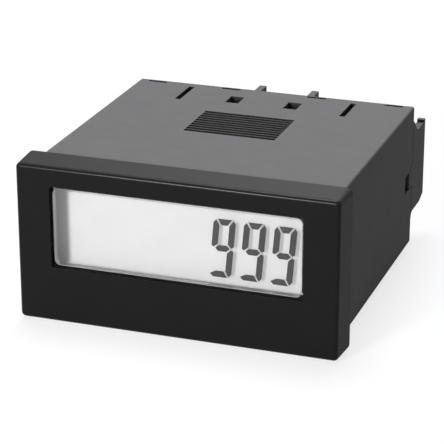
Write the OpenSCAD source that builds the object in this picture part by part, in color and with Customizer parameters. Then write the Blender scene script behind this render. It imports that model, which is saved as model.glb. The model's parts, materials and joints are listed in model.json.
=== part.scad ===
// Panel counter for a 1/32 DIN cut-out: a bezel with a liquid crystal display in front of the panel,
// and behind it a slim case with ratchet teeth for a mounting adapter and a row of screw terminals.
// Sizes are in millimetres. The origin is the centre of the bezel's back, which seats on the panel.
// X runs to the right seen from the front, Y runs back through the panel and Z runs up.

/* [Bezel] */
// Width of the bezel at its back
bezel_w = 48; // [46:0.1:54]
// Height of the bezel at its back
bezel_h = 24; // [23.5:0.1:30]
// How far the bezel stands in front of the panel
bezel_t = 5; // [4.5:0.1:8]
// Draft of each side, from the back to the front
bezel_draft = 0.3; // [0.1:0.05:0.6]
// Corner radius at the back
bezel_corner_r = 1; // [0.5:0.05:2]
// Rounding of the front edge
bezel_edge_r = 0.6; // [0.1:0.05:1]
// Thickness of the front wall
bezel_face_t = 1.5; // [1:0.1:2]
// Depth of the socket in the back that takes the front edge of the case
socket_d = 1; // [0.6:0.1:1.4]

/* [Snap tongues] */
// Width of a tongue on the bezel that snaps into the side of the case
snap_w = 6; // [4:0.5:10]
// Thickness of a tongue
snap_t = 0.8; // [0.6:0.1:1.2]
// How far a tongue reaches behind the panel
snap_reach = 6; // [4.5:0.5:8]
// How far the catch stands out of a tongue
snap_catch = 0.5; // [0.3:0.1:0.7]
// Length of the catch
snap_catch_l = 1.5; // [1:0.1:2]

/* [Window] */
// Width of the display window
window_w = 37.2; // [30:0.1:39]
// Height of the display window
window_h = 12.2; // [9:0.1:12.6]
// Height of the window's centre above the bezel's centre
window_z = 2.7; // [2:0.05:3.2]
// Corner radius of the window
window_r = 0.3; // [0.1:0.1:1]
// Gap between the lens and the window's edge
lens_gap = 0.3; // [0.1:0.05:0.5]
// Corner radius of the lens
lens_r = 0.9; // [0.5:0.1:2]
// How far the lens lies behind the front face
lens_recess = 0.3; // [0.1:0.05:0.8]
// Bevel around the front of the lens
lens_bevel = 0.2; // [0.1:0.05:0.4]
// Thickness of the flange behind the lens
lens_flange_t = 0.8; // [0.6:0.1:1.2]

/* [Display] */
// Wall of the frame around the display glass
frame_wall = 0.4; // [0.3:0.05:0.6]
// Thickness of each display glass
glass_t = 0.7; // [0.4:0.05:1.1]
// Gap between the two glasses, which holds the digits
cell_gap = 0.1; // [0.08:0.01:0.15]
// Air gap between the layers of the display
film_gap = 0.02; // [0.01:0.005:0.03]
// How far the glass runs past the window's lower edge
glass_margin = 0.75; // [0.3:0.05:1]
// Contact ledge of the front glass below the rear glass
contact_ledge = 2.2; // [1.8:0.1:2.8]
// Thickness of the reflector film
reflector_t = 0.2; // [0.1:0.05:0.3]
// Thickness of the light guide
guide_t = 1.8; // [1.4:0.1:2.4]
// Thickness of a backlight lamp
lamp_t = 0.7; // [0.5:0.1:1]
// Height of a backlight lamp
lamp_h = 2.6; // [1.6:0.1:4]
// Depth of a backlight lamp
lamp_d = 1.2; // [0.8:0.1:1.3]
// Margin around the elastomer strip on the contact ledge
strip_margin = 0.3; // [0.2:0.05:0.5]

/* [Digits] */
// Number of digits that show
digit_count = 3; // [1:1:7]
// Width of a digit
digit_w = 3.25; // [2.6:0.05:3.8]
// Height of a digit
digit_h = 8.7; // [7:0.1:9]
// Stroke of a digit's segments
digit_stroke = 0.9; // [0.6:0.05:1.1]
// Distance from one digit to the next
digit_pitch = 4.43; // [4.2:0.01:4.8]
// Lean of the digits to the right, in degrees
digit_lean = 5; // [0:1:10]
// Gap between two segments
segment_gap = 0.25; // [0.1:0.05:0.3]
// Flat cut at the corners of a digit
segment_corner = 0.6; // [0.3:0.05:0.7]
// How far the ends of a digit's head and foot slant inwards
segment_mitre = 0.6; // [0.4:0.05:0.7]
// Place of the last digit to the right of the window's centre
last_digit_x = 14.85; // [13:0.05:15.5]
// How far the digits' centre lies below the window's centre
digit_drop = 1.1; // [0:0.05:1.4]

/* [Case] */
// How far the bezel overhangs the case at each side
lip_side = 1.6; // [1.2:0.1:3]
// How far the bezel overhangs the case at top and bottom
lip_top = 0.9; // [0.8:0.1:2]
// Length of the case behind the panel
case_d = 40; // [38:0.5:70]
// Wall of the case
case_wall = 1.2; // [1:0.1:1.5]
// Rounding of the long outer edges
case_edge_r = 0.3; // [0.2:0.1:0.8]
// Rounding of the long inner edges
inner_r = 0.3; // [0.1:0.05:0.6]

/* [Ratchet teeth] */
// Number of teeth on the top, and on the bottom
tooth_count = 10; // [4:1:12]
// Distance from one tooth to the next
tooth_pitch = 1; // [0.8:0.05:1.2]
// Depth of the grooves between the teeth
tooth_depth = 0.5; // [0.2:0.05:0.6]
// Flat land on top of each tooth
tooth_land = 0.15; // [0.1:0.05:0.5]
// Length of the teeth across the case
tooth_w = 14.1; // [8:0.1:20]
// Distance from the panel to the first tooth
tooth_start = 17.9; // [10:0.1:20]

/* [Rear of the case] */
// Place of the two latch windows to each side of the middle
latch_x = 4.67; // [4:0.01:9]
// Width of a latch window
latch_w = 2.1; // [1.6:0.1:3]
// Length of a latch window
latch_l = 3.2; // [2.6:0.1:4]
// Distance from a latch window to the rear edge of the case
latch_back = 4.1; // [3.6:0.1:5]
// How far a latch hook rises into its window
hook_rise = 0.3; // [0.2:0.05:0.9]
// Gap between a latch hook and each side of its window
hook_gap = 0.35; // [0.1:0.05:0.5]
// Thickness of the arm that carries a hook
arm_t = 1; // [0.8:0.1:1.4]
// Place of the two flex slits to each side of the middle
slit_x = 13.2; // [10:0.1:16]
// Width of a flex slit
slit_w = 0.85; // [0.5:0.05:1.2]
// Length of a flex slit
slit_l = 6.6; // [4:0.1:10]
// Distance from a flex slit to the rear edge of the case
slit_back = 1.5; // [1:0.1:3]
// Place of the outer rear edge notch to each side of the middle
outer_notch_x = 19.3; // [17:0.1:19.6]
// Place of the inner rear edge notch to each side of the middle
inner_notch_x = 7; // [6.6:0.1:10]
// Width of a rear edge notch
notch_w = 3; // [2:0.1:3.2]
// Depth of a rear edge notch
notch_d = 0.9; // [0.6:0.1:1.2]
// Thickness of the block's key in such a notch
notch_key_t = 0.3; // [0.2:0.05:0.4]
// Length of the open slot in each side of the case
slot_l = 2.4; // [1.6:0.1:4]
// Distance from that slot to the rear edge of the case
slot_back = 1.8; // [1.4:0.1:2.4]
// Upper edge of the slot
slot_top = 1.05; // [0.6:0.05:1.6]
// Lower edge of the slot
slot_bottom = -1.85; // [-2.4:0.05:-1]
// How much the slot's upper edge rises towards the rear edge
slot_rise = 0.7; // [0.2:0.05:1.2]
// Depth of the pocket that the slot opens in the block's plug
slot_pocket = 2; // [1:0.1:3]

/* [Terminal block] */
// Number of screw terminals
ways = 5; // [3:1:5]
// Gap between the rear edge of the case and the block
seam = 0.15; // [0.05:0.05:0.3]
// How far the block's plug goes into the case
plug_d = 3; // [2.6:0.1:3.2]
// Thickness of the block's floor behind the seam
floor_t = 1.85; // [1.4:0.05:2.6]
// Thickness of the barrier ribs
rib_t = 1.1; // [0.8:0.05:1.2]
// Length of the barrier ribs behind the seam
rib_l = 7.5; // [7.2:0.1:10]
// Height of the ribs' upper edge
rib_top = 6.5; // [5.5:0.1:8]
// Height of the ribs' lower edge
rib_bottom = -6.2; // [-8:0.1:-5.6]
// Height where the ribs' upper ramp meets the seam
ramp_top = 8.8; // [8.2:0.1:9.4]
// Length of that ramp
ramp_l = 2.8; // [2:0.1:4]
// Radius of the fillet under the ribs' root
root_r = 0.9; // [0.4:0.1:1.4]
// Length of the bevel at the ribs' lower rear corner
bevel_l = 2.2; // [1:0.1:3]
// Height of that bevel
bevel_h = 0.7; // [0.3:0.1:1.5]
// Length of the lip on the ribs' upper rear corner
lip_l = 0.9; // [0.5:0.1:1.5]
// Height of that lip
lip_h = 0.4; // [0.2:0.05:0.8]
// Height of the two middle ribs' upper edge
fin_top = 9.5; // [9:0.1:9.8]

/* [Terminals] */
// Thickness of a terminal plate
plate_t = 0.8; // [0.6:0.1:1]
// Gap between a terminal plate and the ribs beside it
plate_gap = 0.3; // [0.1:0.05:0.6]
// Height of a terminal plate's upper edge
plate_top = 4.8; // [4:0.1:6]
// Width of a terminal plate's tail
tail_w = 2.5; // [1.5:0.1:3]
// Length of the tail that lies on the main board
tail_l = 3; // [2:0.1:4]
// Side of a square clamp washer
washer_w = 6.6; // [6:0.1:6.9]
// Thickness of a clamp washer
washer_t = 0.8; // [0.5:0.1:1]
// Corner radius of a clamp washer
washer_r = 0.6; // [0.2:0.1:1.2]
// Diameter of a terminal screw
screw_d = 3.5; // [3:0.1:4]
// Length of a terminal screw under its head
screw_l = 5; // [4.4:0.1:5.4]
// Diameter of a screw head
head_d = 6.4; // [5.6:0.1:6.8]
// Height of a screw head
head_h = 2.2; // [1.6:0.1:2.6]
// Bevel of a screw head
head_bevel = 0.4; // [0.2:0.05:0.7]
// Width of the cross recess in a screw head
recess_w = 0.9; // [0.6:0.05:1.2]
// Span of the cross recess
recess_l = 4.4; // [3:0.1:5]
// Depth of the cross recess
recess_d = 1.2; // [0.8:0.1:1.4]

/* [Boards] */
// Thickness of the circuit boards
board_t = 1.6; // [1:0.1:2]
// Height of the main board's upper face
board_z = -4.8; // [-5.2:0.1:-4.4]
// How far the guide rails for the main board stand out of the case's sides
rail_w = 1.2; // [0.8:0.1:1.4]
// Thickness of a guide rail
rail_t = 0.8; // [0.6:0.1:1.2]
// Distance from the snap tongues to the guide rails
rail_gap = 2; // [1:0.5:4]
// Place of the ribs that hold the display board, to each side of the middle
stop_x = 12; // [8:0.5:17]
// Width of such a rib
stop_w = 1.2; // [0.8:0.1:2]
// Height of such a rib
stop_h = 1.5; // [1:0.1:2]
// Length of such a rib
stop_l = 5; // [3:0.5:8]
// Number of pins between the two boards
pin_count = 8; // [4:1:12]
// Distance from one pin to the next
pin_pitch = 2.54; // [2:0.01:2.54]
// Diameter of a pin
pin_d = 0.64; // [0.4:0.02:0.8]
// Side of the header's body
header_side = 2.5; // [2:0.1:3]

/* [Parts on the main board] */
// Diameter of the coin cell
battery_d = 20; // [16:0.5:20]
// Thickness of the coin cell
battery_t = 3.2; // [2:0.1:4]
// Gap between the coin cell and the guide rail beside it
battery_gap = 0.3; // [0.1:0.1:1]
// Thickness of the coin cell's solder tabs
tab_t = 0.3; // [0.2:0.05:0.4]
// Width of a solder tab
tab_w = 5; // [3:0.5:8]
// How far a solder tab runs past the coin cell
tab_reach = 1.5; // [1:0.1:2]
// Side of the microcontroller's body
chip_w = 10; // [7:0.5:11]
// Height of the microcontroller's body
chip_h = 1.5; // [1:0.1:2]
// Distance from the right guide rail to the microcontroller
chip_margin = 3.5; // [1:0.1:4]
// Diameter of the crystal's can
crystal_d = 2; // [1.5:0.1:3]
// Length of the crystal's can
crystal_l = 6; // [5:0.1:8]
// Distance from the crystal to the header and to the microcontroller
crystal_gap = 0.8; // [0.4:0.1:1]
// Diameter of the capacitor
capacitor_d = 6.3; // [4:0.1:7]
// Height of the capacitor
capacitor_h = 7.7; // [5:0.1:10]
// Distance from the right guide rail to the capacitor
capacitor_margin = 1; // [0.5:0.1:3]
// Distance from the microcontroller to the capacitor
capacitor_gap = 4; // [1:0.1:4]
// Width of the input optocoupler
coupler_w = 4.6; // [4:0.1:5]
// Length of the input optocoupler
coupler_l = 6.5; // [6:0.1:7]
// Height of the input optocoupler
coupler_h = 3.2; // [2:0.1:4]
// Distance from the capacitor to the optocoupler beside it
coupler_side = 1; // [0.5:0.1:2]
// Distance from the microcontroller to the optocoupler
coupler_gap = 2; // [0.5:0.1:3]
// Width of a chip resistor
resistor_w = 1.6; // [1.2:0.1:2]
// Length of a chip resistor
resistor_l = 3; // [2:0.1:3.2]
// Height of a chip resistor
resistor_h = 0.6; // [0.4:0.05:0.8]
// Distance from a chip resistor to the rear edge of the main board
resistor_gap = 0.4; // [0.2:0.1:1]

/* [Fits] */
// Clearance between pieces that plug together
fit = 0.1; // [0.05:0.01:0.15]
// Clearance around pieces that lie loose in a guide
loose_fit = 0.2; // [0.1:0.05:0.3]

/* [Hidden] */
$fn = 48;
// How far a cut runs past the surface that it opens
over = 1;

// Outline of the case and of its inside
case_w = bezel_w - 2 * lip_side;
case_h = bezel_h - 2 * lip_top;
inner_w = case_w - 2 * case_wall;
inner_h = case_h - 2 * case_wall;
top_z = case_h / 2;
side_x = case_w / 2;

// Depths of the display's layers, from the front backwards
face_back = bezel_face_t - bezel_t;
lens_front = lens_recess - bezel_t;
lens_back = face_back + lens_flange_t;
glass_front = lens_back + film_gap;
glass_back = glass_front + glass_t;
cell_back = glass_back + cell_gap;
rear_glass_back = cell_back + glass_t;
reflector_front = rear_glass_back + film_gap;
reflector_back = reflector_front + reflector_t;
board_front = reflector_back + guide_t;
board_back = board_front + board_t;

// Front-view outline of the display's layers
tongue_x = inner_w / 2 - fit;
stack_w = 2 * (tongue_x - snap_t - fit);
stack_top = inner_h / 2 - fit;
glass_w = stack_w - 2 * (frame_wall + fit);
glass_top = stack_top - frame_wall - fit;
rear_glass_bottom = window_z - window_h / 2 - glass_margin;
glass_bottom = rear_glass_bottom - contact_ledge;
stack_bottom = glass_bottom - fit - frame_wall;
guide_w = glass_w - 2 * lamp_t;
middle_tip = (digit_w - digit_stroke - segment_gap) / 2;

// Front edge rounding, held within the bezel's front corner
draft_angle = atan(bezel_draft / bezel_t);
edge_r = min(bezel_edge_r, bezel_corner_r - bezel_draft - fit / 2);
edge_h = bezel_t - edge_r;
edge_x = bezel_corner_r - bezel_draft * edge_h / bezel_t - edge_r / cos(draft_angle);

// Depths of the terminal block and its terminals
plug_front = case_d - plug_d;
seat_y = case_d + seam;
floor_y = seat_y + floor_t;
rib_end = seat_y + rib_l;
plate_back = floor_y + plate_t;
washer_back = plate_back + washer_t;
head_back = washer_back + head_h;
screw_end = washer_back - screw_l;
way_pitch = (case_w - rib_t) / ways;
bay_w = way_pitch - rib_t;
plate_w = bay_w - 2 * plate_gap;

// Main board and what lies on it
main_front = board_back + loose_fit;
main_rear = plug_front - loose_fit;
tail_front = main_rear - tail_l;
pin_z = board_z + header_side / 2;
header_w = pin_count * pin_pitch;
header_back = board_back + header_side;
rail_x = inner_w / 2 - rail_w;
crystal_y = header_back + crystal_gap + crystal_d / 2;
chip_x = rail_x - chip_margin - chip_w / 2;
chip_y = crystal_y + crystal_d / 2 + crystal_gap + chip_w / 2;
chip_rear = chip_y + chip_w / 2;
capacitor_x = rail_x - capacitor_margin - capacitor_d / 2;
coupler_x = capacitor_x - capacitor_d / 2 - coupler_side - coupler_w / 2;
battery_x = battery_gap + battery_d / 2 - rail_x;
battery_y = (header_back + tail_front) / 2;
battery_z = board_z + tab_t;

// Front-view outline, x against z, pushed from depth y0 to depth y1
module slab(y0, y1) {
    translate([0, y1, 0]) rotate([90, 0, 0]) linear_extrude(y1 - y0) children();
}

// Side-view outline, y against z, pushed from x0 to x1
module side_slab(x0, x1) {
    translate([x0, 0, 0]) rotate([90, 0, 90]) linear_extrude(x1 - x0) children();
}

// Plan-view outline, x against y, pushed from z0 to z1
module plan_slab(z0, z1) {
    translate([0, 0, z0]) linear_extrude(z1 - z0) children();
}

// Rectangle between two corners
module rect(u0, u1, v0, v1) {
    translate([u0, v0]) square([u1 - u0, v1 - v0]);
}

// Rectangle with round corners, around the origin
module round_rect(w, h, r) {
    square([w - 2 * r, h], center = true);
    square([w, h - 2 * r], center = true);
    for (x = [-1, 1], y = [-1, 1])
        translate([x * (w / 2 - r), y * (h / 2 - r)]) circle(r);
}

// Children as they are and mirrored to the other side
module left_and_right() {
    children();
    mirror([1, 0, 0]) children();
}

// Children as they are and mirrored to the bottom
module top_and_bottom() {
    children();
    mirror([0, 0, 1]) children();
}

// Children a number of times side by side, as far apart as the terminals
module in_row(count) {
    for (i = [0 : count - 1])
        translate([(i - (count - 1) / 2) * way_pitch, 0, 0]) children();
}

// Children once at the middle of each terminal
module each_way() {
    in_row(ways) children();
}

module inner_outline() {
    round_rect(inner_w, inner_h, inner_r);
}

module stack_outline(inset) {
    rect(inset - stack_w / 2, stack_w / 2 - inset, stack_bottom + inset, stack_top - inset);
}

// Section of the bezel's rim: outwards against forwards, with draft and a round front edge
module rim_section() {
    polygon([
        [0, 0], [bezel_corner_r, 0],
        [edge_x + edge_r * cos(draft_angle), edge_h + edge_r * sin(draft_angle)],
        [edge_x, bezel_t], [0, bezel_t]
    ]);
    translate([edge_x, edge_h]) intersection() {
        circle(edge_r);
        square(edge_r);
    }
}

// Section of the lens's rim, with its bevel
module lens_section() {
    t = face_back - lens_front;
    polygon([
        [0, 0], [lens_r, 0], [lens_r, t - lens_bevel], [lens_r - lens_bevel, t], [0, t]
    ]);
}

// One straight stretch of a rim and the corner that follows it
module rim_quarter(reach, side) {
    translate([reach, 0, 0])
        rotate([90, 0, 0]) linear_extrude(side, center = true) children();
    translate([reach, side / 2, 0]) rotate_extrude(angle = 90) children();
}

// Block with round corners, forward from its back, with the rim's section as its child
module rimmed_block(w, h, t, corner_r) {
    core_w = w - 2 * corner_r;
    core_h = h - 2 * corner_r;
    rotate([90, 0, 0]) {
        translate([-core_w / 2, -core_h / 2, 0]) cube([core_w, core_h, t]);
        for (turn = [0, 180]) {
            rotate(turn) rim_quarter(core_w / 2, core_h) children();
            rotate(turn + 90) rim_quarter(core_h / 2, core_w) children();
        }
    }
}

// Tongue on the right of the bezel, with a catch that holds the case
module snap_tongue() {
    catch_y = snap_reach - snap_catch_l;
    plan_slab(-snap_w / 2, snap_w / 2)
        polygon([
            [tongue_x - snap_t, face_back - bezel_face_t / 2],
            [tongue_x, face_back - bezel_face_t / 2],
            [tongue_x, catch_y], [tongue_x + snap_catch, catch_y],
            [tongue_x, snap_reach], [tongue_x - snap_t, snap_reach]
        ]);
}

module front_bezel() {
    color("#1d1d1f") {
        difference() {
            rimmed_block(bezel_w, bezel_h, bezel_t, bezel_corner_r) rim_section();
            slab(-bezel_t - over, face_back + over)
                translate([0, window_z]) round_rect(window_w, window_h, window_r);
            slab(face_back, over) inner_outline();
            slab(-socket_d, over)
                round_rect(case_w + 2 * fit, case_h + 2 * fit, case_edge_r + fit);
        }
        left_and_right() snap_tongue();
    }
}

module window_lens() {
    color("#cfd8dc", 0.5) {
        translate([0, face_back, window_z])
            rimmed_block(window_w - 2 * lens_gap, window_h - 2 * lens_gap, face_back - lens_front, lens_r)
                lens_section();
        slab(face_back, lens_back) stack_outline(0);
    }
}

module lcd_frame() {
    color("#8d8f90")
        slab(glass_front, board_front)
            difference() {
                stack_outline(0);
                stack_outline(frame_wall);
            }
}

module lcd_front_glass() {
    color("#dfe5e2", 0.5)
        slab(glass_front, glass_back) rect(-glass_w / 2, glass_w / 2, glass_bottom, glass_top);
}

// Outline shared by the rear glass and the reflector
module cell_outline(w) {
    rect(-w / 2, w / 2, rear_glass_bottom, glass_top);
}

module lcd_rear_glass() {
    color("#dfe5e2", 0.5) slab(cell_back, rear_glass_back) cell_outline(glass_w);
}

module lcd_reflector() {
    color("#eceeea") slab(reflector_front, reflector_back) cell_outline(glass_w);
}

module light_guide() {
    color("#f4f4f0", 0.8) slab(reflector_back, board_front) cell_outline(guide_w);
}

module backlight_lamps() {
    color("#f5efc8")
        left_and_right()
            slab(board_front - lamp_d, board_front)
                rect(guide_w / 2, glass_w / 2, window_z - lamp_h / 2, window_z + lamp_h / 2);
}

// Point of a digit, leaned over about the digit's centre
function leaned(p) = [p[0] + p[1] * tan(digit_lean), p[1]];

module segment(points) {
    polygon([for (p = points) leaned(p)]);
}

// Horizontal segment at the head of a digit
module head_segment() {
    x = digit_w / 2 - segment_corner;
    z = digit_h / 2;
    inner_x = x - segment_mitre;
    segment([[-x, z], [x, z], [inner_x, z - digit_stroke], [-inner_x, z - digit_stroke]]);
}

// Horizontal segment at the foot of a digit, with its free end pointed
module foot_segment() {
    x = digit_w / 2 - segment_corner;
    z = -digit_h / 2;
    inner_x = x - segment_mitre;
    segment([
        [-x, z], [x, z], [inner_x, z + digit_stroke], [digit_stroke - digit_w / 2, z + digit_stroke],
        [(segment_gap - digit_w) / 2, z + digit_stroke / 2]
    ]);
}

// Upright segment: side is 1 for right and -1 for left, half is 1 for upper and -1 for lower
module upright_segment(side, half) {
    x = digit_w / 2;
    inner_x = x - digit_stroke;
    corner_x = x - segment_corner + segment_gap;
    corner_z = (digit_h - segment_gap) / 2;
    tip_z = segment_gap / 2;
    end_x = middle_tip + sqrt(2) * segment_gap;
    outline = [
        [corner_x, corner_z], [x, digit_h / 2 - segment_corner],
        [x, tip_z + digit_stroke / 4], [end_x - tip_z, tip_z], [inner_x, end_x - inner_x],
        [inner_x, corner_z - (corner_x - inner_x) * digit_stroke / segment_mitre]
    ];
    segment([for (p = outline) [side * p[0], half * p[1]]]);
}

// Horizontal segment across the middle of a digit
module middle_segment() {
    x = middle_tip - digit_stroke / 2;
    z = digit_stroke / 2;
    segment([[-middle_tip, 0], [-x, z], [x, z], [middle_tip, 0], [x, -z], [-x, -z]]);
}

module digit_nine() {
    head_segment();
    upright_segment(-1, 1);
    upright_segment(1, 1);
    middle_segment();
    upright_segment(1, -1);
    foot_segment();
}

module lcd_digits() {
    color("#3c4044")
        slab(glass_back + film_gap, cell_back - film_gap)
            for (i = [0 : digit_count - 1])
                translate([last_digit_x - i * digit_pitch, window_z - digit_drop]) digit_nine();
}

module elastomer_strip() {
    color("#4a4a4a")
        slab(glass_back, board_front)
            rect(strip_margin - glass_w / 2, glass_w / 2 - strip_margin,
                glass_bottom + strip_margin, rear_glass_bottom - strip_margin);
}

module each_pin() {
    for (i = [0 : pin_count - 1])
        translate([(i - (pin_count - 1) / 2) * pin_pitch, pin_z]) children();
}

module display_board() {
    w = inner_w - 2 * loose_fit;
    h = inner_h - 2 * loose_fit;
    recess_x = tongue_x - snap_t - loose_fit;
    color("#2e6b3c")
        slab(board_front, board_back)
            difference() {
                square([w, h], center = true);
                for (side = [-1, 1])
                    translate([side * (recess_x + w / 2), 0])
                        square([w, snap_w + 2 * loose_fit], center = true);
                each_pin() circle(d = pin_d + 2 * fit);
            }
}

module board_header() {
    color("#26282a")
        slab(board_back, header_back)
            rect(-header_w / 2, header_w / 2, board_z, board_z + header_side);
    color("#c9b26a")
        slab(board_front + fit, board_back + header_side / 2) each_pin() circle(d = pin_d);
}

module main_board() {
    x = inner_w / 2 - loose_fit;
    color("#2e6b3c") plan_slab(board_z - board_t, board_z) rect(-x, x, main_front, main_rear);
}

module microcontroller() {
    color("#202124")
        plan_slab(board_z, board_z + chip_h)
            translate([chip_x, chip_y]) square(chip_w, center = true);
}

module crystal() {
    color("#b9bcc0")
        translate([chip_x - crystal_l / 2, crystal_y, board_z + crystal_d / 2])
            rotate([0, 90, 0]) cylinder(d = crystal_d, h = crystal_l);
}

module battery() {
    color("#c4c6c8")
        translate([battery_x, battery_y, battery_z]) cylinder(d = battery_d, h = battery_t);
}

// One tab lies under the coin cell, the other on top of it with a leg down to the board
module battery_tabs() {
    reach = battery_d / 2 + tab_reach;
    x0 = battery_x - tab_w / 2;
    x1 = battery_x + tab_w / 2;
    tab_top = battery_z + battery_t + tab_t;
    color("#d6d8da") {
        plan_slab(board_z, battery_z) rect(x0, x1, battery_y, battery_y + reach);
        plan_slab(tab_top - tab_t, tab_top) rect(x0, x1, battery_y - reach, battery_y);
        plan_slab(board_z, tab_top) rect(x0, x1, battery_y - reach, battery_y - reach + tab_t);
    }
}

module capacitor() {
    y = chip_rear + capacitor_gap + capacitor_d / 2;
    color("#30343c")
        translate([capacitor_x, y, board_z]) cylinder(d = capacitor_d, h = capacitor_h);
}

module optocoupler() {
    y0 = chip_rear + coupler_gap;
    color("#e8e8e4")
        plan_slab(board_z, board_z + coupler_h)
            rect(coupler_x - coupler_w / 2, coupler_x + coupler_w / 2, y0, y0 + coupler_l);
}

// One resistor between every two tails of the terminal plates
module resistors() {
    y1 = main_rear - resistor_gap;
    color("#1c1c1c")
        in_row(ways - 1)
            plan_slab(board_z, board_z + resistor_h)
                rect(-resistor_w / 2, resistor_w / 2, y1 - resistor_l, y1);
}

// Groove in front of each tooth: a slope down to an upright face that stops the adapter's pawl
module ratchet_grooves() {
    groove_l = tooth_pitch - tooth_land;
    for (i = [0 : tooth_count - 1]) {
        y = tooth_start + i * tooth_pitch;
        side_slab(-tooth_w / 2, tooth_w / 2)
            polygon([
                [y, top_z], [y, top_z + over], [y + groove_l, top_z + over],
                [y + groove_l, top_z - tooth_depth]
            ]);
    }
}

// Rear edge notches on the right, seen from above, narrower by a gap at each side
module notch_outlines(y0, y1, gap) {
    for (x = [outer_notch_x, inner_notch_x])
        rect(x - notch_w / 2 + gap, x + notch_w / 2 - gap, y0, y1);
}

// Cuts through the upper wall of the case, all of them to each side of the middle
module top_cuts() {
    inner_z = inner_h / 2 - over;
    latch_end = case_d - latch_back;
    slit_end = case_d - slit_back;
    left_and_right()
        plan_slab(inner_z, top_z + over) {
            rect(latch_x - latch_w / 2, latch_x + latch_w / 2, latch_end - latch_l, latch_end);
            rect(slit_x - slit_w / 2, slit_x + slit_w / 2, slit_end - slit_l, slit_end);
            notch_outlines(case_d - notch_d, case_d + over, 0);
        }
}

// Notch in the right side that the block's key fills up to the open slot
module side_notch() {
    slot_end = case_d - slot_back;
    side_slab(inner_w / 2 - over, side_x + over)
        polygon([
            [slot_end - slot_l, slot_bottom], [case_d + over, slot_bottom],
            [case_d + over, slot_top + slot_rise], [case_d, slot_top + slot_rise],
            [slot_end, slot_top], [slot_end - slot_l, slot_top]
        ]);
}

// Blind pocket inside the right wall for the catch of the bezel's tongue
module catch_pocket() {
    plan_slab(-snap_w / 2 - fit, snap_w / 2 + fit)
        rect(inner_w / 2 - over, inner_w / 2 + snap_catch,
            snap_reach - snap_catch_l - fit, snap_reach + fit);
}

// Pair of rails on the right wall that hold the edge of the main board
module guide_rails() {
    lower_top = board_z - board_t;
    upper_bottom = board_z + fit;
    slab(snap_reach + rail_gap, main_rear)
        for (z = [lower_top - rail_t, upper_bottom])
            rect(inner_w / 2 - rail_w, inner_w / 2 + case_wall / 2, z, z + rail_t);
}

// Rib on the upper wall that holds the display board against the bezel
module stop_rib() {
    side_slab(stop_x - stop_w / 2, stop_x + stop_w / 2)
        rect(board_back, board_back + stop_l, inner_h / 2 - stop_h, inner_h / 2 + case_wall / 2);
}

module case() {
    color("#55575a") {
        difference() {
            slab(-socket_d, case_d) round_rect(case_w, case_h, case_edge_r);
            slab(-socket_d - over, case_d + over) inner_outline();
            top_and_bottom() {
                ratchet_grooves();
                top_cuts();
            }
            left_and_right() {
                side_notch();
                catch_pocket();
            }
        }
        left_and_right() {
            guide_rails();
            top_and_bottom() stop_rib();
        }
    }
}

// Side view of a barrier rib: ramp and lip above, bevel below and a fillet at the root
module rib_outline() {
    polygon([
        [seat_y, rib_bottom], [seat_y, ramp_top], [seat_y + ramp_l, rib_top],
        [rib_end - lip_l, rib_top], [rib_end - lip_l, rib_top + lip_h],
        [rib_end, rib_top + lip_h], [rib_end, rib_bottom + bevel_h], [rib_end - bevel_l, rib_bottom]
    ]);
    difference() {
        rect(seat_y, seat_y + root_r, rib_bottom - root_r, rib_bottom);
        translate([seat_y + root_r, rib_bottom - root_r]) circle(root_r);
    }
}

// Barrier ribs from side to side, the two in the middle taller
module ribs() {
    middle = [floor(ways / 2), ceil(ways / 2)];
    for (i = [0 : ways]) {
        x = i * way_pitch - side_x;
        tall = i == middle[0] || i == middle[1];
        side_slab(x, x + rib_t) {
            rib_outline();
            if (tall) rect(seat_y, rib_end, 0, fin_top);
        }
    }
}

// Hook on a springy arm that catches in a latch window of the upper wall
module latch_hook() {
    arm_top = inner_h / 2 - fit;
    hook_top = inner_h / 2 + hook_rise;
    catch_y = case_d - latch_back - fit;
    tip_y = catch_y - latch_l + 2 * fit;
    side_slab(latch_x - latch_w / 2 + hook_gap, latch_x + latch_w / 2 - hook_gap)
        polygon([
            [tip_y, arm_top - arm_t], [tip_y, arm_top], [tip_y + latch_l / 2, hook_top],
            [catch_y, hook_top], [catch_y, arm_top], [case_d, arm_top], [case_d, arm_top - arm_t]
        ]);
}

// Keys on the plug that close the right notches in the upper rear edge of the case
module notch_keys() {
    plan_slab(inner_h / 2 - case_wall, top_z) notch_outlines(case_d - notch_key_t, case_d, fit);
}

// Pocket in the right of the plug, behind the open slot
module slot_pocket_cut() {
    side_slab(inner_w / 2 - slot_pocket, inner_w / 2 + over)
        rect(plug_front - over, case_d - slot_back, slot_bottom, slot_top);
}

// Key on the right of the plug that fills the rear of the case's side notch
module side_key() {
    key_front = case_d - slot_back;
    side_slab(inner_w / 2 - over, side_x)
        polygon([
            [key_front, slot_bottom + fit], [seat_y, slot_bottom + fit],
            [seat_y, slot_top + slot_rise - seam], [case_d, slot_top + slot_rise - seam],
            [key_front, slot_top - seam]
        ]);
}

module terminal_block() {
    color("#4b4d50")
        difference() {
            union() {
                slab(plug_front, seat_y) round_rect(inner_w - 2 * fit, inner_h - 2 * fit, inner_r);
                slab(case_d, floor_y)
                    rect(case_wall - inner_w / 2, inner_w / 2 - case_wall, rib_bottom, rib_top);
                side_slab(-side_x, side_x)
                    intersection() {
                        rib_outline();
                        rect(seat_y, floor_y, rib_bottom - root_r, ramp_top);
                    }
                ribs();
                left_and_right() {
                    side_key();
                    top_and_bottom() {
                        latch_hook();
                        notch_keys();
                    }
                }
            }
            left_and_right() slot_pocket_cut();
            each_way() {
                slab(screw_end - 2 * fit, floor_y + over) circle(d = screw_d + 2 * fit);
                slab(plug_front - over, floor_y + over)
                    rect(-tail_w / 2 - fit, tail_w / 2 + fit, board_z - fit, board_z + plate_t + fit);
            }
        }
}

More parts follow.
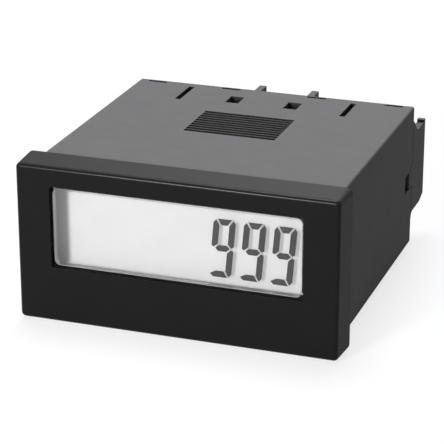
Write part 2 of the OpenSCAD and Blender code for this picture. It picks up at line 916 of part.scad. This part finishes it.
module terminal_plates() {
    color("#c8a75a")
        each_way() {
            slab(floor_y, plate_back)
                difference() {
                    rect(-plate_w / 2, plate_w / 2, board_z, plate_top);
                    circle(d = screw_d + fit);
                }
            slab(tail_front, floor_y) rect(-tail_w / 2, tail_w / 2, board_z, board_z + plate_t);
        }
}

module screw_washers() {
    color("#b8bcc0")
        each_way()
            slab(plate_back, washer_back)
                difference() {
                    round_rect(washer_w, washer_w, washer_r);
                    circle(d = screw_d + 2 * fit);
                }
}

module terminal_screws() {
    color("#c2c5c8")
        each_way()
            difference() {
                translate([0, head_back, 0]) rotate([90, 0, 0])
                    rotate_extrude()
                        polygon([
                            [0, 0], [head_d / 2 - head_bevel, 0], [head_d / 2, head_bevel],
                            [head_d / 2, head_h], [screw_d / 2, head_h],
                            [screw_d / 2, head_h + screw_l], [0, head_h + screw_l]
                        ]);
                slab(head_back - recess_d, head_back + over) {
                    square([recess_l, recess_w], center = true);
                    square([recess_w, recess_l], center = true);
                }
            }
}

front_bezel();
window_lens();
lcd_frame();
lcd_front_glass();
lcd_digits();
lcd_rear_glass();
lcd_reflector();
light_guide();
backlight_lamps();
elastomer_strip();
display_board();
board_header();
main_board();
microcontroller();
crystal();
battery();
battery_tabs();
capacitor();
optocoupler();
resistors();
case();
terminal_block();
terminal_plates();
screw_washers();
terminal_screws();
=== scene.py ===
"""Looks of a panel counter: materials for its solids, a white studio floor, soft lamps and the camera.

Sizes and places are written in millimetres and turned into metres, the frame's unit, where they are used.
"""

import json
import math

import bpy
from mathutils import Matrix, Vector


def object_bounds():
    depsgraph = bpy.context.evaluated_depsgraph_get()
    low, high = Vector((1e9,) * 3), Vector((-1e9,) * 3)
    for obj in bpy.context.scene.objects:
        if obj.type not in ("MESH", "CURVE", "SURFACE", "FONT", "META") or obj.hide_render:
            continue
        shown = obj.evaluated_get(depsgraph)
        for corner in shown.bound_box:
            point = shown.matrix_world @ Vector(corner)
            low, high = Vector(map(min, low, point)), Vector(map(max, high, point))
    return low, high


MM = 0.001

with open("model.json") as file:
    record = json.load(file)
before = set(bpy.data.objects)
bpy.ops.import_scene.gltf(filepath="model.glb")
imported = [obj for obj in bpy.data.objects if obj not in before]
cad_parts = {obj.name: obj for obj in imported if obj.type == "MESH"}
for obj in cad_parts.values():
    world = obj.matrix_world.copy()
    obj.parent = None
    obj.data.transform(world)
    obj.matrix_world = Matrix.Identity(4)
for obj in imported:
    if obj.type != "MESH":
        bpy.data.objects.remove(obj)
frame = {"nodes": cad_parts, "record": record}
cad_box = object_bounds()

# Noise values between which a mottled colour goes from its low to its high end
MOTTLE_LOW = 0.3
MOTTLE_HIGH = 0.7

# Opaque surfaces
MOTTLE_SIZE = 3
# How steeply the painted shade in grooves and corners darkens
GROOVE_SHADE_POWER = 2.0
COOL_BLUE = 1.03

# Clear surfaces
CLEAR_GRAIN = 0.4
CLEAR_ROUGHNESS = (0.04, 0.09)
CLEAR_WAVE = 6
CLEAR_WAVE_DEPTH = 0.01
CLEAR_IOR = 1.49
# Painted shade on a clear piece's walls in the gap, and painted light on its milky bevels and underside
GAP_SHADE_TONE = 0.03
MILK_LIGHT_TONE = 0.92
INNER_ROUGHNESS = 0.4
INNER_SHARE = 0.5

# Parts of the bezel, by how far a face looks to the front, from 0 to 1
SIDE_END = 0.12
ROUND_START = 0.22
ROUND_END = 0.96
FRONT_START = 0.99

# Parts of the lens, by how far a face looks to the front or down, from 0 to 1
WALL_END = 0.2
BEVEL = 0.7
FLAT_START = 0.95
# Between these, a clear piece's flanks go from painted shade to painted light
MILK_START = 0.4
MILK_END = 0.65
UNDER_START = 0.3
UNDER_END = 0.6
GLOSS_START = 0.3
GLOSS_END = 0.6

# Stage
PANEL_CENTRE = (0, 0, 0)
PART_CENTRE = (0, 20, 0)
PAPER_MOTTLE = 40
PAPER_UNEVENNESS = 0.01
SENSOR_WIDTH = 36.0
CLIP_START = 10
CLEAR_FACES_PASSED = 32


class Tree:
    """The node tree of a material or the world, with short ways to add and join its nodes."""

    def __init__(self, owner):
        owner.use_nodes = True
        self.owner = owner
        self.nodes = owner.node_tree.nodes

    def add(self, kind, values=None, **settings):
        """A new node with these settings, and these values in its inputs."""
        node = self.nodes.new("ShaderNode" + kind)
        for key, value in settings.items():
            setattr(node, key, value)
        for socket, value in (values or {}).items():
            node.inputs[socket].default_value = value
        return node

    def join(self, source, target):
        self.owner.node_tree.links.new(source, target)

    def show(self, shader):
        """Makes a shader the material's surface."""
        self.join(shader, self.nodes["Material Output"].inputs["Surface"])

    def calculate(self, operation, *terms):
        """The result of an operation on sockets and plain numbers."""
        node = self.add("Math", operation=operation)
        for socket, term in zip(node.inputs, terms):
            if isinstance(term, bpy.types.NodeSocket):
                self.join(term, socket)
            else:
                socket.default_value = term
        return node.outputs["Value"]

    def noise(self, size, detail=2.0, squeeze=(1, 1, 1)):
        """Noise whose lumps are about size across, and narrower along an axis with a squeeze over 1."""
        place = self.add("Mapping", {"Scale": squeeze})
        self.join(self.add("TexCoord").outputs["Object"], place.inputs["Vector"])
        node = self.add("TexNoise", {"Scale": 1 / (size * MM), "Detail": detail})
        self.join(place.outputs["Vector"], node.inputs["Vector"])
        return node.outputs["Fac"]

    def ramp(self, source, *points):
        """Colours along source, through points of a place and a colour, from the lowest place up."""
        node = self.add("ValToRGB")
        stops = node.color_ramp.elements
        first, *between, last = points
        for stop, (place, colour) in zip(stops, (first, last)):
            stop.position = place
            stop.color = (*colour, 1)
        for place, colour in between:
            stops.new(place).color = (*colour, 1)
        self.join(source, node.inputs["Fac"])
        return node.outputs["Color"]

    def span(self, source, low, high):
        """Source from 0 to 1 carried over to low to high."""
        node = self.add("MapRange", {"To Min": low, "To Max": high})
        self.join(source, node.inputs["Value"])
        return node.outputs["Result"]

    def bump(self, height, depth, round_edge=0.0):
        """Normal of a surface with that relief, its edges rounded by a small radius."""
        node = self.add("Bump", {"Strength": 1.0, "Distance": depth * MM})
        self.join(height, node.inputs["Height"])
        if round_edge:
            edge = self.add("Bevel", {"Radius": round_edge * MM}, samples=6)
            self.join(edge.outputs["Normal"], node.inputs["Normal"])
        return node.outputs["Normal"]

    def shaded_in_grooves(self, colour, reach):
        """Colour with painted shade: darker, by ambient occlusion, in grooves and corners whose walls are
        within reach.
        """
        near = self.add("AmbientOcclusion", {"Distance": reach * MM}, samples=8)
        share = self.calculate("POWER", near.outputs["AO"], GROOVE_SHADE_POWER)
        darker = self.add("VectorMath", operation="SCALE")
        self.join(colour, darker.inputs[0])
        self.join(share, darker.inputs["Scale"])
        return darker.outputs["Vector"]

    def mix(self, factor, first, second):
        """The first shader where factor is 0, and the second where it is 1."""
        node = self.add("MixShader")
        self.join(factor, node.inputs["Fac"])
        self.join(first, node.inputs[1])
        self.join(second, node.inputs[2])
        return node.outputs["Shader"]


def even(value):
    """A neutral grey."""
    return (value, value, value)


def grey(value):
    """A grey with a touch of blue, as of moulded plastic or bright metal."""
    return (value, value, value * COOL_BLUE)


def facing(tree):
    """How far a face looks to the front or back, from 0 to 1, and how far down, below 0 where it looks up."""
    axes = tree.add("SeparateXYZ")
    tree.join(tree.add("NewGeometry").outputs["True Normal"], axes.inputs["Vector"])
    front = tree.calculate("ABSOLUTE", axes.outputs["Y"])
    down = tree.calculate("MULTIPLY", axes.outputs["Z"], -1.0)
    return front, down


def polished(tree, side, edge):
    """Share of the front's roughness: side on the faces round the front, edge on the round between them."""
    front, _ = facing(tree)
    return tree.ramp(
        front,
        (SIDE_END, even(side)),
        (ROUND_START, even(edge)),
        (ROUND_END, even(edge)),
        (FRONT_START, even(1)),
    )


def solid(name, low, high, rough, grain, relief, shine=0.5, metal=0.0, edge=0.08, squeeze=(1, 1, 1),
          groove_shade_reach=0.0, polish=None):
    """An opaque material: mottled colour from low to high, uneven roughness and a fine relief, and, if asked,
    painted shade in grooves and corners.
    """
    tree = Tree(bpy.data.materials.new(name))
    shader = tree.nodes["Principled BSDF"]
    shader.inputs["Metallic"].default_value = metal
    shader.inputs["Specular IOR Level"].default_value = shine
    mottle = tree.noise(MOTTLE_SIZE, detail=4.0, squeeze=squeeze)
    colour = tree.ramp(mottle, (MOTTLE_LOW, low), (MOTTLE_HIGH, high))
    # Painted shade: ambient occlusion darkens the colour in grooves and corners
    if groove_shade_reach:
        colour = tree.shaded_in_grooves(colour, groove_shade_reach)
    tree.join(colour, shader.inputs["Base Color"])
    fine = tree.noise(grain, detail=3.0, squeeze=squeeze)
    roughness = tree.span(fine, *rough)
    if polish:
        roughness = tree.calculate("MULTIPLY", roughness, polished(tree, **polish))
    tree.join(roughness, shader.inputs["Roughness"])
    tree.join(tree.bump(fine, relief, edge), shader.inputs["Normal"])
    return tree


def light_shadow(tree, share):
    """Lets a share of the lamps' light through each face of a solid, as a display's segments do."""
    veil = tree.add("BsdfTransparent", {"Color": (*even(share), 1)})
    shadow = tree.add("LightPath").outputs["Is Shadow Ray"]
    tree.show(tree.mix(shadow, tree.nodes["Principled BSDF"].outputs["BSDF"], veil.outputs["BSDF"]))
    return tree


def glowing(tree, strength):
    """Lights a solid softly from behind."""
    shader = tree.nodes["Principled BSDF"]
    shader.inputs["Emission Color"].default_value = (1, 1, 1, 1)
    shader.inputs["Emission Strength"].default_value = strength
    return tree


def flank(tree, bevel, under, wall):
    """How much of a clear piece's face shows its milky skin, which carries painted light and shade.

    A face to the front or back is clear. Bevel is for faces at 45 degrees to it, wall for those at 90, and
    under for all that look down.
    """
    front, down = facing(tree)
    turned = tree.ramp(front, (WALL_END, even(wall)), (BEVEL, even(bevel)), (FLAT_START, even(0)))
    lower = tree.ramp(down, (UNDER_START, even(0)), (UNDER_END, even(under)))
    return tree.calculate("MAXIMUM", turned, lower)


def milky_and_shaded_flanks(tree):
    """A clear piece's flanks: painted light on milky bevels and underside, painted shade on dark walls in the
    gap, and mirrors from inside.
    """
    open_side = tree.calculate("MAXIMUM", *facing(tree))
    skin = tree.add("BsdfDiffuse")
    # Painted shade on faces that look sideways or up, painted light on those that look down or to the front
    tone = tree.ramp(open_side, (MILK_START, even(GAP_SHADE_TONE)), (MILK_END, even(MILK_LIGHT_TONE)))
    tree.join(tone, skin.inputs["Color"])
    mirror = tree.add("BsdfGlossy", {"Roughness": INNER_ROUGHNESS})
    inside = tree.span(tree.add("NewGeometry").outputs["Backfacing"], 0.0, INNER_SHARE)
    return tree.mix(inside, skin.outputs["BSDF"], mirror.outputs["BSDF"])


def outer_gloss(tree, strength):
    """Mirror share of a clear surface: Fresnel's on the side that light enters, and none on its flanks."""
    fresnel = tree.add("Fresnel", {"IOR": CLEAR_IOR})
    outside = tree.span(tree.add("NewGeometry").outputs["Backfacing"], strength, 0.0)
    front, _ = facing(tree)
    broad = tree.ramp(front, (GLOSS_START, even(0)), (GLOSS_END, even(1)))
    return tree.calculate("MULTIPLY", tree.calculate("MULTIPLY", fresnel.outputs["Fac"], outside), broad)


def clear(name, tint, gloss, frost_and_shade=None):
    """A clear material that light passes straight through, with gloss outside and, if asked, milky flanks
    with painted light and shade.
    """
    tree = Tree(bpy.data.materials.new(name))
    tree.nodes.remove(tree.nodes["Principled BSDF"])
    body = tree.add("BsdfTransparent", {"Color": (*tint, 1)}).outputs["BSDF"]
    if frost_and_shade:
        body = tree.mix(flank(tree, **frost_and_shade), body, milky_and_shaded_flanks(tree))
    mirror = tree.add("BsdfGlossy")
    tree.join(tree.span(tree.noise(CLEAR_GRAIN), *CLEAR_ROUGHNESS), mirror.inputs["Roughness"])
    tree.join(tree.bump(tree.noise(CLEAR_WAVE), CLEAR_WAVE_DEPTH), mirror.inputs["Normal"])
    tree.show(tree.mix(outer_gloss(tree, gloss), body, mirror.outputs["BSDF"]))
    return tree


def bezel_black(name):
    """Satin black moulding, smoother on the round of its front edge and duller on its sides."""
    return solid(name, low=grey(0.005), high=grey(0.0065), rough=(0.38, 0.48), grain=0.12, relief=0.003,
                 shine=0.12, polish={"side": 1.45, "edge": 0.6})


def case_grey(name):
    """Matte dark grey moulding, with painted shade in its grooves and corners."""
    return solid(name, low=grey(0.121), high=grey(0.129), rough=(0.75, 0.88), grain=0.16, relief=0.01,
                 shine=0.08, groove_shade_reach=2.0)


def block_grey(name):
    """Matte dark grey moulding, a little darker than the case, with painted shade in its grooves and corners.
    """
    return solid(name, low=grey(0.106), high=grey(0.114), rough=(0.7, 0.84), grain=0.16, relief=0.01,
                 shine=0.08, groove_shade_reach=2.0)


def lens_clear(name):
    """Clear moulded window, with painted shade on the walls of its flanks and painted light on its bevels and
    underside.
    """
    return clear(name, tint=even(0.985), gloss=1.0, frost_and_shade={"bevel": 0.1, "under": 0.95, "wall": 0.9})


def frame_grey(name):
    """Matte mid grey moulding round the display."""
    return solid(name, low=grey(0.27), high=grey(0.32), rough=(0.55, 0.7), grain=0.15, relief=0.006)


def lcd_glass(name):
    """Thin display glass, with little gloss since it lies behind the window."""
    return clear(name, tint=even(0.99), gloss=0.15)


def lcd_segment(name):
    """Dark liquid crystal, which still lets some light through to the reflector."""
    tree = solid(name, low=grey(0.05), high=grey(0.065), rough=(0.5, 0.62), grain=0.1, relief=0.001,
                 shine=0.2, edge=0)
    return light_shadow(tree, share=0.73)


def reflector_white(name):
    """White film behind the display, with the backlight's faint glow."""
    tree = solid(name, low=even(0.85), high=even(0.89), rough=(0.6, 0.75), grain=0.08, relief=0.003, edge=0)
    return glowing(tree, strength=0.08)


def guide_clear(name):
    """Pale glossy acrylic."""
    return solid(name, low=(0.84, 0.84, 0.82), high=(0.9, 0.9, 0.88), rough=(0.15, 0.25), grain=0.5,
                 relief=0.001)


def lamp_white(name):
    """Warm white body of a small component."""
    return solid(name, low=(0.74, 0.73, 0.66), high=(0.82, 0.81, 0.74), rough=(0.45, 0.6), grain=0.12,
                 relief=0.003)


def strip_rubber(name):
    """Dark silicone in thin layers from left to right."""
    return solid(name, low=grey(0.06), high=grey(0.09), rough=(0.8, 0.92), grain=0.1, relief=0.006,
                 squeeze=(12, 1, 1))


def board_green(name):
    """Green solder mask."""
    return solid(name, low=(0.02, 0.14, 0.045), high=(0.03, 0.2, 0.06), rough=(0.28, 0.42), grain=0.3,
                 relief=0.006)


def chip_black(name):
    """Black body of a small component."""
    return solid(name, low=grey(0.015), high=grey(0.022), rough=(0.55, 0.7), grain=0.1, relief=0.004)


def steel(name):
    """Bright drawn steel."""
    return solid(name, low=grey(0.52), high=grey(0.62), rough=(0.24, 0.38), grain=0.1, relief=0.002,
                 metal=1.0, squeeze=(1, 14, 1))


def plated_steel(name):
    """Zinc plated steel."""
    return solid(name, low=grey(0.5), high=grey(0.58), rough=(0.32, 0.46), grain=0.12, relief=0.003,
                 metal=1.0)


def brass(name):
    """Rolled brass."""
    return solid(name, low=(0.58, 0.42, 0.15), high=(0.7, 0.53, 0.22), rough=(0.26, 0.4), grain=0.12,
                 relief=0.002, metal=1.0, squeeze=(1, 1, 10))


def make_materials():
    """One material for each of the record's slots, by the function of that name."""
    makers = (
        bezel_black, case_grey, block_grey, lens_clear, frame_grey, lcd_glass, lcd_segment, reflector_white,
        guide_clear, lamp_white, strip_rubber, board_green, chip_black, steel, plated_steel, brass,
    )
    return {maker.__name__: maker(maker.__name__).owner for maker in makers}


def dress(materials):
    """Puts each node's material on its slots."""
    for part in frame["record"]["subparts"]:
        for slot in frame["nodes"][part["node"]].material_slots:
            slot.material = materials[part["material_slot"]]


def seen_directly(tree):
    """1 for rays from the camera and for mirrored or transmitted ones, else 0."""
    rays = tree.add("LightPath").outputs
    seen_or_mirrored = tree.calculate("MAXIMUM", rays["Is Camera Ray"], rays["Is Glossy Ray"])
    return tree.calculate("MAXIMUM", seen_or_mirrored, rays["Is Transmission Ray"])


def make_world(ambient):
    """White where it is seen, and a weaker even light on the object."""
    tree = Tree(bpy.data.worlds.new("studio"))
    background = tree.nodes["Background"]
    background.inputs["Color"].default_value = (1, 1, 1, 1)
    tree.join(tree.span(seen_directly(tree), ambient, 1.0), background.inputs["Strength"])
    bpy.context.scene.world = tree.owner


def make_floor(gap, half, tone, lift):
    """A pale floor just below the object, which shows white and keeps the object's shadow."""
    reach = half * MM
    height = cad_box[0].z - gap * MM
    mesh = bpy.data.meshes.new("floor")
    corners = [(x * reach, y * reach, height) for x, y in ((-1, -1), (1, -1), (1, 1), (-1, 1))]
    mesh.from_pydata(corners, [], [(0, 1, 2, 3)])
    floor = bpy.data.objects.new("floor", mesh)
    bpy.context.scene.collection.objects.link(floor)
    tree = Tree(bpy.data.materials.new("floor_paper"))
    tree.nodes.remove(tree.nodes["Principled BSDF"])
    paper = tree.add("BsdfDiffuse")
    darkest, lightest = even(tone - PAPER_UNEVENNESS), even(tone + PAPER_UNEVENNESS)
    colour = tree.ramp(tree.noise(PAPER_MOTTLE), (MOTTLE_LOW, darkest), (MOTTLE_HIGH, lightest))
    tree.join(colour, paper.inputs["Color"])
    glow = tree.add("Emission")
    tree.join(tree.span(seen_directly(tree), 0.0, lift), glow.inputs["Strength"])
    both = tree.add("AddShader")
    tree.join(paper.outputs["BSDF"], both.inputs[0])
    tree.join(glow.outputs["Emission"], both.inputs[1])
    tree.show(both.outputs["Shader"])
    mesh.materials.append(tree.owner)


def make_lamp(name, place, aim, size, level):
    """A softbox, wide by high, that lights a surface facing it at aim to level.

    At level 1 a colour shows as it is written.
    """
    start, end = Vector(place) * MM, Vector(aim) * MM
    data = bpy.data.lights.new(name, "AREA")
    data.shape = "RECTANGLE"
    data.size, data.size_y = Vector(size) * MM
    data.energy = level * math.pi**2 * (start - end).length**2
    lamp = bpy.data.objects.new(name, data)
    lamp.location = start
    lamp.rotation_mode = "QUATERNION"
    lamp.rotation_quaternion = (end - start).to_track_quat("-Z", "Y")
    bpy.context.scene.collection.objects.link(lamp)


def make_camera(place, azimuth, elevation, lens):
    """The photograph's view: to the right of the front and above it, through a long lens."""
    turn, rise = math.radians(azimuth), math.radians(elevation)
    back = Vector((math.sin(turn) * math.cos(rise), -math.cos(turn) * math.cos(rise), math.sin(rise)))
    data = bpy.data.cameras.new("camera")
    data.sensor_width = SENSOR_WIDTH
    data.lens = lens
    data.clip_start = CLIP_START * MM
    camera = bpy.data.objects.new("camera", data)
    camera.location = Vector(place) * MM
    camera.rotation_mode = "QUATERNION"
    camera.rotation_quaternion = (-back).to_track_quat("-Z", "Y")
    bpy.context.scene.collection.objects.link(camera)
    bpy.context.scene.camera = camera


dress(make_materials())
make_world(ambient=0.23)
make_floor(gap=0.01, half=6000, tone=0.22, lift=0.75)
make_lamp("key", place=(-122, -380, 145), aim=PANEL_CENTRE, size=(80, 45), level=0.845)
make_lamp("top", place=(-80, 160, 700), aim=PART_CENTRE, size=(320, 320), level=0.78)
make_lamp("rear", place=(-100, 750, 300), aim=PART_CENTRE, size=(400, 400), level=0.45)
make_camera(place=(89.8, -241.7, 104.3), azimuth=19.28, elevation=21.25, lens=160.5)

bpy.context.scene.cycles.transparent_max_bounces = CLEAR_FACES_PASSED
bpy.context.scene.view_settings.view_transform = "Standard"
